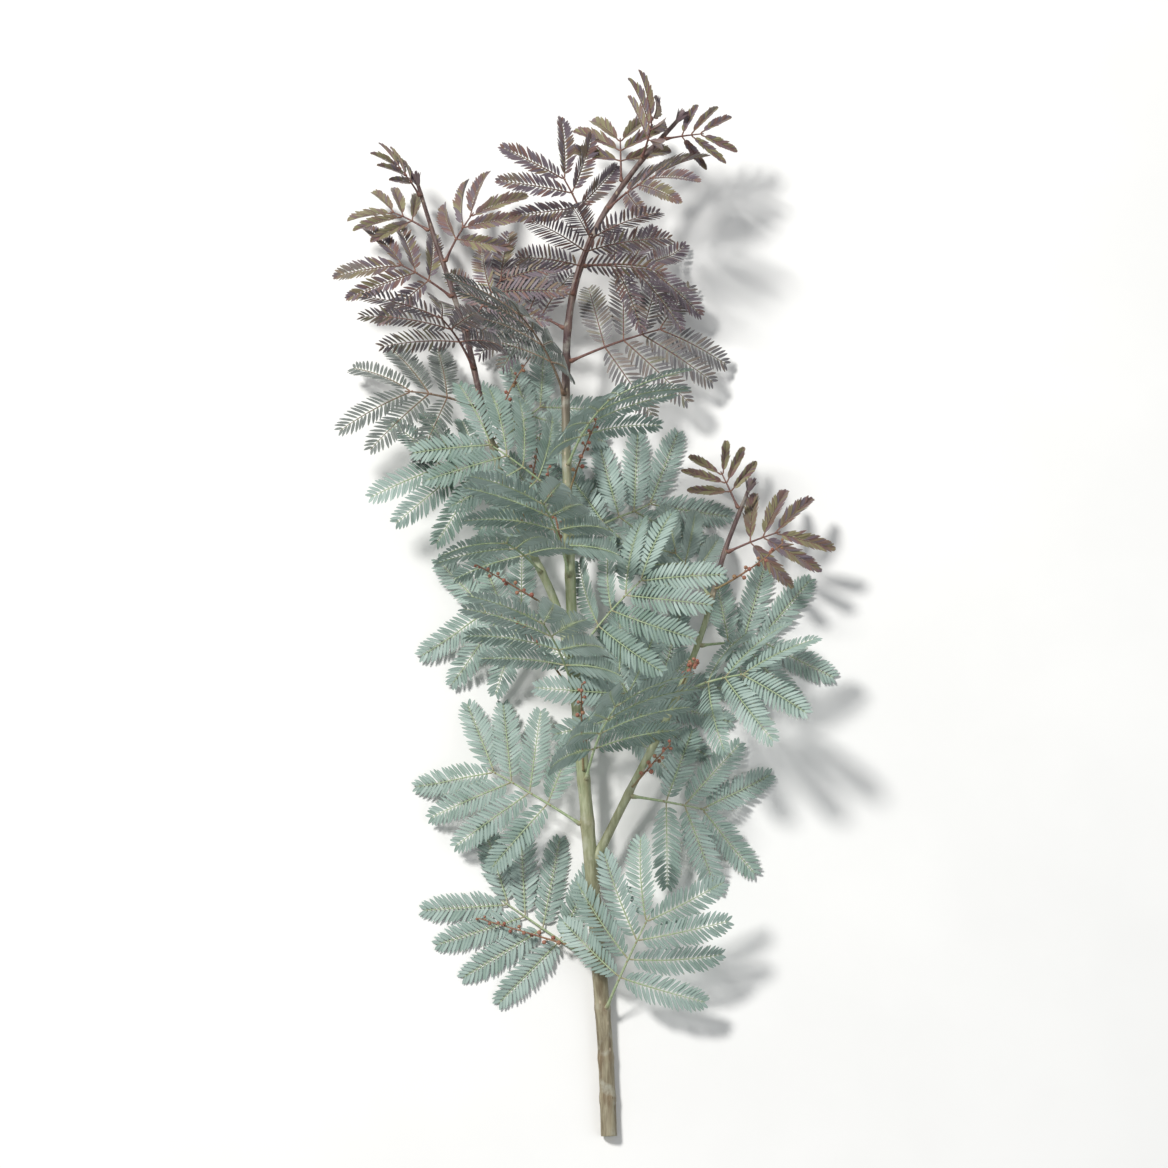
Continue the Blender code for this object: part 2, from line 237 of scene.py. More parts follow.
def posed(place, draw, attempt):
    """One way for a leaf to stand at its place: its rachis and each of its pinnae as stations.
    Later attempts turn it further and make it smaller."""
    shoot, s, age = place["shoot"], place["s"], place["age"]
    scale = SHRINK ** (attempt // 10)
    swing = 18 + attempt
    azimuth = math.radians(place["azimuth"] + draw.uniform(-swing, swing))
    over_stem = max(0.0, math.cos(azimuth)) ** 2
    lean = math.radians((28 + 34 * age) * (1 - 0.35 * over_stem) + draw.uniform(-9, 9))
    centre, forward = shoot.at(s)
    out = shoot.outward(s, azimuth)
    direction = (out * math.sin(lean) + forward * math.cos(lean)).normalized()
    inner = (forward - direction * forward.dot(direction)).normalized()
    upper = (UP - direction * UP.dot(direction)).normalized()
    facing = 0.82 * abs(math.sin(azimuth)) ** 0.7
    normal = (inner * (1 - facing) + upper * facing).normalized()
    normal = turned(normal, direction, math.radians(draw.uniform(-16, 16)))
    side = direction.cross(normal)
    reach = RACHIS_HALF_WIDTH * abs(side.dot(out)) + RACHIS_HALF_THICK * abs(normal.dot(out))
    start = centre + out * (shoot.radius(s) + SEAT_GAP + reach)

    size = scale * (SMALLEST_SIZE + (1 - SMALLEST_SIZE) * age)
    pairs = 4 if age == 1 and shoot.name == "main" else 3
    length = size * (PETIOLE + PAIR_STEP * (pairs - 1)) + PINNA_BASE
    count = 2 * pairs + 2
    rachis = arc(start, direction, normal, length, math.radians(12 + 14 * age), count)
    pinnae = []
    for pair in range(pairs):
        station = rachis[count - 2 * (pairs - 1 - pair) - 1]
        share = pair / (pairs - 1)
        angle = LOWEST_PINNA_ANGLE + (LAST_PINNA_ANGLE - LOWEST_PINNA_ANGLE) * share
        angle *= 0.7 + 0.3 * age
        reach = PINNA_LENGTH * size * (0.80 + 0.24 * math.sin(math.pi * (0.25 + 0.55 * share)))
        for hand in (1, -1):
            way = turned(station[1], station[2], hand * angle)
            face = turned(station[2], way, hand * math.radians(-7 + draw.uniform(-6, 6)))
            droop = math.radians(16 + 12 * age + draw.uniform(-8, 8))
            pinnae.append(dict(pair=pair, hand=hand, way=way, face=face, droop=droop, length=reach,
                               half_width=PINNA_HALF_WIDTH * (0.5 + 0.5 * size) * (0.34 + 0.66 * age)))
    teeth = 3 if age > 0.78 else 2
    return dict(rachis=rachis, pinnae=pinnae, pairs=pairs, teeth=teeth, size=size)


def blade_half_width(share):
    """A pinna's outline: the share of its greatest half width at a share of its length."""
    return min(1.0, 0.5 + 1.5 * share) * math.sqrt(1 - ((share - 0.45) / 0.62) ** 2)


def leaf_sheet(pose):
    """The leaf as one sheet of triangles: a narrow strip for the rachis, and toothed pinnae."""
    points, half, triangles = [], [], []

    def add(point, thick):
        points.append(point)
        half.append(thick)
        return len(points) - 1

    # Two stations for each pair of pinnae, its near and its far side, after those for the petiole.
    strip = []
    for point, direction, normal in pose["rachis"]:
        side = direction.cross(normal) * RACHIS_HALF_WIDTH
        strip.append((add(point + side, RACHIS_HALF_THICK), add(point - side, RACHIS_HALF_THICK)))
    for (right_a, left_a), (right_b, left_b) in zip(strip, strip[1:]):
        triangles += [(right_a, right_b, left_b), (right_a, left_b, left_a)]

    last = len(strip) - 1
    for pinna in pose["pinnae"]:
        near = last - 2 * (pose["pairs"] - 1 - pinna["pair"]) - 1
        if pinna["hand"] > 0:
            right, left = strip[near + 1][1], strip[near][1]
        else:
            right, left = strip[near][0], strip[near + 1][0]
        foot = (points[right] + points[left]) / 2
        teeth = pose["teeth"]
        ribs = arc(foot, pinna["way"], pinna["face"], pinna["length"], pinna["droop"], 2 * teeth)
        for tooth in range(1, teeth + 1):
            point, way, face = ribs[2 * tooth]
            side = way.cross(face)
            mid_point, mid_way, mid_face = ribs[2 * tooth - 1]
            out = mid_way.cross(mid_face)
            wide = pinna["half_width"] * blade_half_width((tooth - 0.35) / teeth)
            tip = mid_point + mid_way * (pinna["length"] / teeth * 0.42) - mid_face * (0.12 * wide)
            tip_right = add(tip + out * wide, BLADE_HALF_THICK)
            tip_left = add(tip - out * wide, BLADE_HALF_THICK)
            if tooth < teeth:
                next_right = add(point + side * RIB_HALF_WIDTH, BLADE_HALF_THICK)
                next_left = add(point - side * RIB_HALF_WIDTH, BLADE_HALF_THICK)
                triangles += [(right, next_right, next_left), (right, next_left, left)]
            else:
                next_right = next_left = add(point, BLADE_HALF_THICK)
                triangles += [(right, next_right, left)]
            triangles += [(right, tip_right, next_right), (left, next_left, tip_left)]
            right, left = next_right, next_left
    return [pressed(p, h) for p, h in zip(points, half)], half, triangles


def thickened(points, half, triangles):
    """A closed solid from a sheet: both faces are split into triangles alike."""
    normals = [Vector() for _ in points]
    for a, b, c in triangles:
        across = (points[b] - points[a]).cross(points[c] - points[a])
        for corner in (a, b, c):
            normals[corner] += across
    offsets = [n.normalized() * h for n, h in zip(normals, half)]
    count = len(points)
    corners = [p + o for p, o in zip(points, offsets)] + [p - o for p, o in zip(points, offsets)]
    corners = [grounded(p) for p in corners]
    faces = list(triangles)
    faces += [(c + count, b + count, a + count) for a, b, c in triangles]
    edges = {(a, b) for t in triangles for a, b in zip(t, t[1:] + t[:1])}
    for a, b in sorted(edges):
        if (b, a) not in edges:
            faces += [(a, a + count, b + count), (a, b + count, b)]
    return corners, faces


def tube(stations, radii, sides, turn=0.0):
    """A closed tube through (point, direction) stations, with flat ends."""
    corners = []
    for (point, direction), radius in zip(stations, radii):
        up = (UP - direction * UP.dot(direction)).normalized()
        across = direction.cross(up)
        for i in range(sides):
            angle = turn + 2 * math.pi * i / sides
            corners.append(point + (up * math.cos(angle) + across * math.sin(angle)) * radius)
    caps = [first_cap(sides), last_cap(len(corners), sides)]
    return corners, side_faces(len(stations), sides) + caps


def clear_of(tree, others):
    return not any(tree.overlap(other) for other in others)


def crosses_itself(corners, faces):
    """True where two faces that share no corner meet, as when one pinna cuts through the next."""
    tree = tree_of(corners, faces)
    return any(not set(faces[a]) & set(faces[b]) for a, b in tree.overlap(tree))


def tree_of(corners, faces):
    return BVHTree.FromPolygons(corners, faces)


def shoot_stations(shoot):
    rings = max(4, round(shoot.length / RING_STEP))
    return [shoot.length * i / rings for i in range(rings + 1)]


def shoot_tube(shoot, extra=0.0):
    """The stem's faceted tube. Its underside is flat where it rests."""
    marks = shoot_stations(shoot)
    corners, faces = tube([shoot.at(s) for s in marks], [shoot.radius(s) + extra for s in marks],
                          STEM_SIDES, math.pi / STEM_SIDES)
    return [grounded(p) for p in corners], faces


def grown_leaves(stems, taken):
    """A pose for each leaf in which it crosses nothing that is there. Its foot may touch its own shoot."""
    draw = random.Random(SEED)
    leaves = []
    for place in leaf_places():
        own = stems[place["shoot"].name]
        others = [tree for name, tree in stems.items() if name != place["shoot"].name]
        others += taken
        for attempt in range(TRIES):
            pose = posed(place, draw, attempt)
            points, half, triangles = leaf_sheet(pose)
            if crosses_itself(*thickened(points, half, triangles)):
                continue
            wide = [CLEAR_HALF_THICK] * len(points)
            whole = tree_of(*thickened(points, wide, triangles))
            past_foot = tree_of(*thickened(points, wide, [t for t in triangles if min(t) > 3]))
            if clear_of(whole, others) and clear_of(past_foot, [own]):
                taken.append(whole)
                leaves.append(dict(place, pose=pose))
                break
    return leaves


def raceme_buds(length):
    return int((length - 10 * MM) / BUD_STEP)


def grown_racemes(leaves, stems, taken):
    """A raceme in the axil of every other grown leaf, curved clear of the stems and leaves."""
    draw = random.Random(SEED + 1)
    racemes = []
    for leaf in leaves[1::2]:
        shoot, s = leaf["shoot"], leaf["s"] + RACEME_SPACING
        if leaf["bronze"] or s > 0.8 * shoot.length:
            continue
        for attempt in range(TRIES * 2):
            azimuth = math.radians(leaf["azimuth"] * 0.6 + draw.uniform(-70, 70))
            lean = math.radians(draw.uniform(18, 70))
            centre, forward = shoot.at(s)
            out = shoot.outward(s, azimuth)
            direction = (out * math.sin(lean) + forward * math.cos(lean)).normalized()
            normal = (forward - direction * forward.dot(direction)).normalized()
            start = centre + out * (shoot.radius(s) + SEAT_GAP + RACEME_RADIUS)
            length = RACEME_LENGTH * draw.uniform(0.65, 1.1) * (1 - 0.4 * attempt / (TRIES * 2))
            steps = raceme_buds(length) + 2
            path = arc(start, direction, normal, length, math.radians(draw.uniform(-35, 35)), steps)
            path = [(pressed(p, BUD_RADIUS * 2), d) for p, d, _ in path]
            radii = [RACEME_RADIUS + SEAT_GAP] + [BUD_RADIUS + BUD_OFFSET] * steps
            whole = tree_of(*tube(path, radii, 6))
            past_foot = tree_of(*tube(path[1:], radii[1:], 6))
            if clear_of(whole, taken) and clear_of(past_foot, stems.values()):
                taken.append(whole)
                racemes.append(dict(path=path, length=length, shoot=shoot, s=s))
                break
    return racemes


# What the solids leave out. Lengths are in metres, angles in radians.
LEAFLET_STEP = 1.75 * MM
COMB_STEP = 2.05 * MM  # on bronze leaves that have opened
FOLDED_STEP = 1.2 * MM  # on leaves that are still folded
LEAFLET_WIDTH = 0.72 * MM  # half of it
LEAFLET_THICK = 0.13 * MM
LEAFLET_REACH = 1.1  # how far leaflets stand past the blades of the solids
OPEN_ANGLE = math.radians(62)
FOLDED_ANGLE = math.radians(34)
PETIOLE_RADIUS = 0.62 * MM
RIB_RADIUS = 0.30 * MM
FINE_STEPS = 6
BARK_SIDES = 28
BARK_STEP = 1.3 * MM
COLLAR = 6.0 * MM  # a side shoot starts rounded, inside the main stem
SHARP_ANGLE = math.radians(75)  # blades keep crisp edges, tubes and buds stay smooth
BUD_BUMPS = 34
HAIRS_PER_SHOOT = 1100
HAIR_RADIUS = 0.03 * MM
RIB_RINGS = 14
RACHIS_RINGS = 30
RACEME_RINGS = 40

# A shoot's youth grows from 0 to 1 towards its tip, as shares of the length over which leaves are bronze.
LEAF_YOUTH = (1.12, 0.45)  # where it starts for leaves, and over how much it grows
BARK_YOUTH = (1.35, 0.5)
FOLDED_UNTIL = 0.45  # leaves open over this much of their age
OPEN_LIFT = 9  # degrees by which the rows of leaflets stand up from a flat blade
FOLDING_LIFT = 34

# Ridges run down the bark from each leaf.
RIDGE_HEIGHT = 0.16
RIDGE_HALF_ANGLE = 0.36
RIDGE_LENGTH = 34 * MM
RIDGE_FADE = 13 * MM
RIDGE_TOP = 3 * MM
NODE_TOP = 4 * MM
NODE_SWELL = 0.10
NODE_REACH = 2.2 * MM
MOST_SWELL = 0.3
FORK_FLARE = 0.5
FORK_REACH = 9 * MM


def smooth_path(stations, steps=FINE_STEPS):
    """Finer stations (point, direction, face) on a smooth curve through coarse ones."""
    knots = [stations[0]] + list(stations) + [stations[-1]]
    fine = []
    for a, b, c, d in zip(knots, knots[1:], knots[2:], knots[3:]):
        for i in range(steps):
            t = i / steps
            point = between(a[0], b[0], c[0], d[0], t)
            fine.append((point, b[1].lerp(c[1], t).normalized(), b[2].lerp(c[2], t).normalized()))
    return fine + [stations[-1]]


class Path:
    """A smooth curve with a direction and a face at each distance along it."""

    def __init__(self, stations):
        self.stations = smooth_path(stations)
        self.along = [0.0]
        for a, b in zip(self.stations, self.stations[1:]):
            self.along.append(self.along[-1] + (b[0] - a[0]).length)
        self.length = self.along[-1]

    def at(self, s):
        s = min(max(s, 0.0), self.length)
        i = int(np.searchsorted(self.along, s)) - 1
        i = min(max(i, 0), len(self.stations) - 2)
        t = (s - self.along[i]) / max(self.along[i + 1] - self.along[i], 1e-9)
        a, b = self.stations[i], self.stations[i + 1]
        way = (b[0] - a[0]).normalized()
        face = a[2].lerp(b[2], t)
        return a[0].lerp(b[0], t), way, (face - way * face.dot(way)).normalized()


class Mesh:
    """Corners, faces and a look for each corner, gathered for one object.
    A look is four numbers: a random tint, the place along the part, the place across it, and its youth."""

    def __init__(self):
        self.corners, self.faces, self.looks, self.slots = [], [], [], []

    def add(self, corners, faces, looks, slot=0):
        base = len(self.corners)
        self.corners += corners
        self.looks += looks
        self.faces += [tuple(i + base for i in face) for face in faces]
        self.slots += [slot] * len(faces)

    def make(self, name, finishes):
        mesh = bpy.data.meshes.new(name)
        mesh.from_pydata([tuple(c) for c in self.corners], [], self.faces)
        for finish in finishes:
            mesh.materials.append(finish)
        mesh.polygons.foreach_set("material_index", self.slots)
        look = mesh.color_attributes.new("look", "FLOAT_COLOR", "POINT")
        look.data.foreach_set("color", [value for four in self.looks for value in four])
        mesh.shade_smooth()
        mesh.set_sharp_from_angle(angle=SHARP_ANGLE)
        obj = bpy.data.objects.new(name, mesh)
        bpy.context.scene.collection.objects.link(obj)
        return obj


def add_tube(mesh, stations, radii, sides, looks, slot=0, ringed=False):
    """A round tube through (point, way, face) stations. It closes to a point where the last radius is small.
    The third number of a look runs round the tube, unless it is ringed: then it is that of its ring."""
    corners, all_looks = [], []
    for (point, way, face), radius, look in zip(stations, radii, looks):
        across = way.cross(face)
        for i in range(sides):
            angle = 2 * math.pi * i / sides
            corner = point + (face * math.cos(angle) + across * math.sin(angle)) * radius
            corners.append(grounded(corner))
            all_looks.append((look[0], look[1], look[2] if ringed else i / sides, look[3]))
    faces = side_faces(len(corners) // sides, sides)
    mesh.add(corners, faces + [first_cap(sides), last_cap(len(corners), sides)], all_looks, slot)


# The outline of a leaflet: place along it, and its share of the half width.
LEAFLET_OUTLINE = ((0.10, 0.62), (0.34, 1.0), (0.68, 0.92), (0.92, 0.42))


def add_leaflet(mesh, base, way, across, face, length, half_width, tint, youth, bow, slot=0):
    """A thin closed blade with a hollow along its midrib, bowed towards the pinna's tip."""
    corners = [base]
    looks = [(tint, 0.0, 0.0, youth)]
    for along, wide in LEAFLET_OUTLINE:
        centre = base + way * (length * along) + across * (bow * along * along)
        centre = centre - face * (0.05 * length * along**2)
        reach = across * (half_width * wide)
        hollow = face * (half_width * wide * 0.22)
        thick = face * LEAFLET_THICK
        corners += [centre + reach + hollow, centre + thick * 0.6]
        corners += [centre - reach + hollow, centre - thick]
        looks += [(tint, along, 1.0, youth), (tint, along, 0.0, youth)] * 2
    corners.append(base + way * length + across * bow - face * (0.05 * length))
    looks.append((tint, 1.0, 0.6, youth))
    faces = [(0, 1 + (i + 1) % 4, 1 + i) for i in range(4)]
    faces += [tuple(1 + i for i in loop) for loop in side_faces(len(LEAFLET_OUTLINE), 4)]
    a = 1 + 4 * (len(LEAFLET_OUTLINE) - 1)
    faces += [(a + i, a + (i + 1) % 4, len(corners) - 1) for i in range(4)]
    if across.cross(face).dot(way) < 0:
        faces = [loop[::-1] for loop in faces]
    mesh.add([grounded(c) for c in corners], faces, looks, slot)


def pinna_path(pose, pinna):
    """The pinna's rib, along the same stations as in the solid, and where it grows on the rachis."""
    last = len(pose["rachis"]) - 1
    near = last - 2 * (pose["pairs"] - 1 - pinna["pair"]) - 1
    (a, way_a, normal_a), (b, way_b, normal_b) = pose["rachis"][near], pose["rachis"][near + 1]
    side = (way_a.cross(normal_a) + way_b.cross(normal_b)) / 2 * RACHIS_HALF_WIDTH * -pinna["hand"]
    foot = (a + b) / 2 + side
    ribs = arc(foot, pinna["way"], pinna["face"], pinna["length"], pinna["droop"], 2 * pose["teeth"])
    return Path([(pressed(p, BLADE_HALF_THICK), d, n) for p, d, n in ribs]), (a + b) / 2


def pinna_outline(share, folded):
    """How wide the rows of leaflets are at a share of the rib: rounded at its end, lance-shaped if young."""
    rise = 0.5 + 0.5 * min(1.0, 4.5 * share + 0.1)
    widest = 0.55 - 0.2 * folded
    fall = math.sqrt(1 - ((share - widest) / (1.04 - widest)) ** 2) if share > widest else 1.0
    return rise * fall ** (1 + 0.5 * folded)


def add_pinna(mesh, pose, pinna, youth, cast, folded, draw):
    """A rib with its two rows of leaflets, which are still folded forwards on a young leaf."""
    path, root = pinna_path(pose, pinna)
    count = RIB_RINGS
    marks = [path.length * i / count for i in range(count + 1)]
    stations = [path.at(s) for s in marks]
    inner = (pressed(root, RACHIS_HALF_THICK), stations[0][1], stations[0][2])
    radii = [RIB_RADIUS * 1.5] + [RIB_RADIUS * (1.15 - 0.75 * i / count) for i in range(count + 1)]
    looks = [(cast, 0.0, 0.0, youth)] + [(cast, i / count, 0.0, youth) for i in range(count + 1)]
    add_tube(mesh, [inner] + stations, radii, 6, looks, 1)
    cast = min(max(cast + draw.uniform(-0.15, 0.15), 0.0), 1.0)

    angle = OPEN_ANGLE + (FOLDED_ANGLE - OPEN_ANGLE) * folded
    lift = math.radians(OPEN_LIFT + FOLDING_LIFT * folded) + math.radians(draw.uniform(-4, 4))
    step = LEAFLET_STEP + (COMB_STEP - LEAFLET_STEP) * youth
    step += (FOLDED_STEP - step) * folded
    roll = math.radians(8 + draw.uniform(-5, 5))
    rows = max(5, int((path.length - 1.6 * MM) / step))
    for row in range(rows):
        share = (row + 0.5) / rows
        point, way, face = path.at(1.4 * MM + (path.length - 1.8 * MM) * (row + 0.3) / rows)
        side = way.cross(face)
        length = LEAFLET_REACH * pinna["half_width"] * pinna_outline(share, folded) / math.sin(angle)
        width = LEAFLET_WIDTH * (0.62 + 0.38 * pose["size"]) * (1 - 0.2 * youth + 0.25 * folded)
        for hand in (1, -1):
            lean = angle - math.radians(10) * share - math.radians(22) * share**8
            lean += math.radians(draw.uniform(-5, 5))
            out = side * hand
            row_out = out * math.cos(lift) + face * math.sin(lift)
            raised = (way * math.cos(lean) + row_out * math.sin(lean)).normalized()
            upper = (face * math.cos(lift) - out * math.sin(lift)).normalized()
            upper = turned(upper, raised, hand * (roll + math.radians(draw.uniform(-11, 11))))
            across = raised.cross(upper) * -hand
            tint = 0.5 * cast + 0.5 * draw.random()
            add_leaflet(mesh, point + out * RIB_RADIUS * 0.5, raised, across, upper,
                        length * draw.uniform(0.94, 1.05), width, tint, youth, width * 0.35)


def add_glands(mesh, pose, youth):
    """A small raised gland on the rachis at each pair of pinnae."""
    last = len(pose["rachis"]) - 1
    for pair in range(pose["pairs"]):
        point, way, normal = pose["rachis"][last - 2 * (pose["pairs"] - 1 - pair) - 1]
        centre = point + way * (0.9 * MM) + normal * (RACHIS_HALF_THICK * 0.7)
        stations = [(centre + normal * h * MM, normal, way) for h in (-0.25, 0.12, 0.28, 0.34)]
        looks = [(0.2, 0.0, 0.0, youth)] * 4
        add_tube(mesh, stations, [r * MM for r in (0.5, 0.46, 0.3, 0.08)], 8, looks, 1)


def youth_at(shoot, s, start, span):
    """How young a shoot is at a distance along it: 0 is full-grown, 1 is the newest growth."""
    from_tip = (shoot.length - s) / shoot.bronze
    return min(max((start - from_tip) / span, 0.0), 1.0)


def make_leaf(name, leaf, finishes):
    """Petiole, rachis, glands, ribs and leaflets of one leaf."""
    pose = leaf["pose"]
    shoot = leaf["shoot"]
    youth = youth_at(shoot, leaf["s"], *LEAF_YOUTH)
    folded = min(max((1.0 - leaf["age"]) / FOLDED_UNTIL, 0.0), 1.0)
    draw = random.Random(name)
    cast = draw.random() * (1 - 0.6 * youth) + 0.6 * folded * youth
    mesh = Mesh()
    path = Path([(pressed(p, RACHIS_HALF_THICK), d, n) for p, d, n in pose["rachis"]])
    centre, _ = shoot.at(leaf["s"])
    start, way, face = path.at(0.0)
    root = (centre.lerp(start, 0.45), way, face)
    count = RACHIS_RINGS
    marks = [path.length * i / count for i in range(count + 1)]
    stations = [root] + [path.at(s) for s in marks]
    radii = [PETIOLE_RADIUS * 1.9]
    for s in marks:
        swell = 0.75 * math.exp(-(s / (1.8 * MM)) ** 2)
        radii.append(PETIOLE_RADIUS * (0.62 + 0.38 * pose["size"]) * (1.0 + swell - 0.5 * s / path.length))
    add_tube(mesh, stations, radii, 10, [(0.5, i / count, 0.0, youth) for i in range(count + 2)], 1)
    add_glands(mesh, pose, youth)
    for pinna in pose["pinnae"]:
        add_pinna(mesh, pose, pinna, youth, cast, folded, draw)
    obj = mesh.make(name + "_fine", finishes)
    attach(obj, "root")
    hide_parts(name)


def globe(radius):
    """A flower head in bud: a globe of many small round flower buds. Corners, faces and their heights."""
    golden = math.pi * (3 - math.sqrt(5))
    centres = []
    for i in range(BUD_BUMPS):
        z = 1 - 2 * (i + 0.5) / BUD_BUMPS
        ring = math.sqrt(1 - z * z)
        centres.append((ring * math.cos(golden * i), ring * math.sin(golden * i), z))
    centres = np.array(centres)
    rings, sides = 15, 22
    corners, faces = [(0, 0, 1)], []
    for ring in range(1, rings):
        polar = math.pi * ring / rings
        for i in range(sides):
            angle = 2 * math.pi * (i + 0.5 * (ring % 2)) / sides
            across = math.sin(polar)
            corners.append((across * math.cos(angle), across * math.sin(angle), math.cos(polar)))
    corners.append((0, 0, -1))
    ways = np.array(corners)
    nearest = (ways @ centres.T).max(axis=1)
    gap = np.arccos(np.clip(nearest, -1, 1)) / math.sqrt(4 * math.pi / BUD_BUMPS)
    height = 1 - 0.20 * np.clip(gap / 0.58, 0, 1) ** 2
    corners = [Vector(way) * radius * h for way, h in zip(corners, height)]
    for i in range(sides):
        faces.append((0, 1 + i, 1 + (i + 1) % sides))
        for ring in range(rings - 2):
            a, b = 1 + ring * sides + i, 1 + ring * sides + (i + 1) % sides
            faces.append((a, a + sides, b + sides, b))
        base = 1 + (rings - 2) * sides
        faces.append((base + i, len(corners) - 1, base + (i + 1) % sides))
    return corners, faces, [float(h) for h in (height - 0.8) / 0.2]


def make_raceme(name, raceme, finishes):
    """A zigzag axis with stalked globes of buds, each stalk in the axil of a small bract."""
    draw = random.Random(name)
    mesh = Mesh()
    coarse = [(p, d, d.orthogonal().normalized()) for p, d in raceme["path"]]
    path = Path(coarse)
    centre, _ = raceme["shoot"].at(raceme["s"])
    count = RACEME_RINGS
    marks = [path.length * i / count for i in range(count + 1)]
    stations = [path.at(s) for s in marks]
    root = (centre.lerp(stations[0][0], 0.4), stations[0][1], stations[0][2])
    radii = [RACEME_RADIUS * 1.5] + [RACEME_RADIUS * (1.0 - 0.55 * i / count) for i in range(count + 1)]
    add_tube(mesh, [root] + stations, radii, 8, [(0.5, i / count, 0.0, 0.5) for i in range(count + 2)], 1)
    total = len(coarse)
    turn = 0.0
    for i in range(4, 2 * total - 1):
        s = path.length * i / (2 * total - 2)
        point, way, face = path.at(s)
        turn += math.radians(GOLDEN_TURN)
        out = turned(face, way, turn + draw.uniform(-0.3, 0.3))
        fade = i / (2 * total)
        radius = BUD_RADIUS * (0.84 - 0.40 * fade) * draw.uniform(0.82, 1.0)
        lean = (out * 0.9 + way * 0.4).normalized()
        head = point + lean * (BUD_OFFSET * (1.5 - 0.6 * fade) + radius * 0.3)
        head.z = max(head.z, radius)
        stalk = [(point.lerp(head, t), lean, lean.orthogonal().normalized()) for t in (0.0, 0.4, 0.9)]
        add_tube(mesh, stalk, [0.24 * MM, 0.18 * MM, 0.22 * MM], 6, [(0.5, 0.6, 0.0, 0.5)] * 3, 1)
        tilt = Matrix.Rotation(draw.uniform(0, 6.28), 3, out)
        corners, faces, heights = globe(radius)
        tint = draw.random()
        mesh.add([head + tilt @ c for c in corners], faces, [(tint, fade, h, 0.5) for h in heights], 0)
        axil = point + out * RACEME_RADIUS * 0.5
        bract = [(axil - way * h * MM * 0.4 + out * h * MM * 0.8, out, way) for h in (0.0, 0.4, 0.9)]
        add_tube(mesh, bract, [r * MM for r in (0.35, 0.3, 0.05)], 6, [(tint, 0.0, 0.0, 1.0)] * 3, 1)
    obj = mesh.make(name + "_fine", finishes)
    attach(obj, "root")
    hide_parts(name)


def petiole_turn(leaf):
    """The angle round the stem at which a leaf stands: 0 is up, positive is to the right."""
    centre, forward = leaf["shoot"].at(leaf["s"])
    out = leaf["pose"]["rachis"][0][0] - centre
    up = (UP - forward * UP.dot(forward)).normalized()
    return math.atan2(out.dot(forward.cross(up)), out.dot(up))


def stripped_places(shoot):
    """Where the lowest leaves were stripped off: below the first leaf, at the same spacing and turn."""
    places = []
    s, turn = shoot.first - shoot.gaps[0], math.radians(shoot.turn - GOLDEN_TURN)
    while s > 8 * MM:
        places.append((s, math.asin(math.sin(turn)) * AZIMUTH_SHARE))
        s, turn = s - shoot.gaps[0] * 0.8, turn - math.radians(GOLDEN_TURN)
    return places


def add_scar(mesh, shoot, s, azimuth):
    """A healed leaf scar: a low oval pad with a hollow."""
    centre, forward = shoot.at(s)
    out = shoot.outward(s, azimuth)
    foot = centre + out * shoot.radius(s)
    marks = ((-0.4, 1.35), (0.3, 1.25), (0.55, 0.95), (0.5, 0.7), (0.36, 0.45), (0.4, 0.06))
    stations = [(foot + out * h * MM, out, forward) for h, _ in marks]
    looks = [(0.0, 0.0, 1.0, 0.0)] * 4 + [(0.0, 0.0, 0.1, 0.0)] * 2
    add_tube(mesh, stations, [r * MM for _, r in marks], 14, looks, 1, ringed=True)


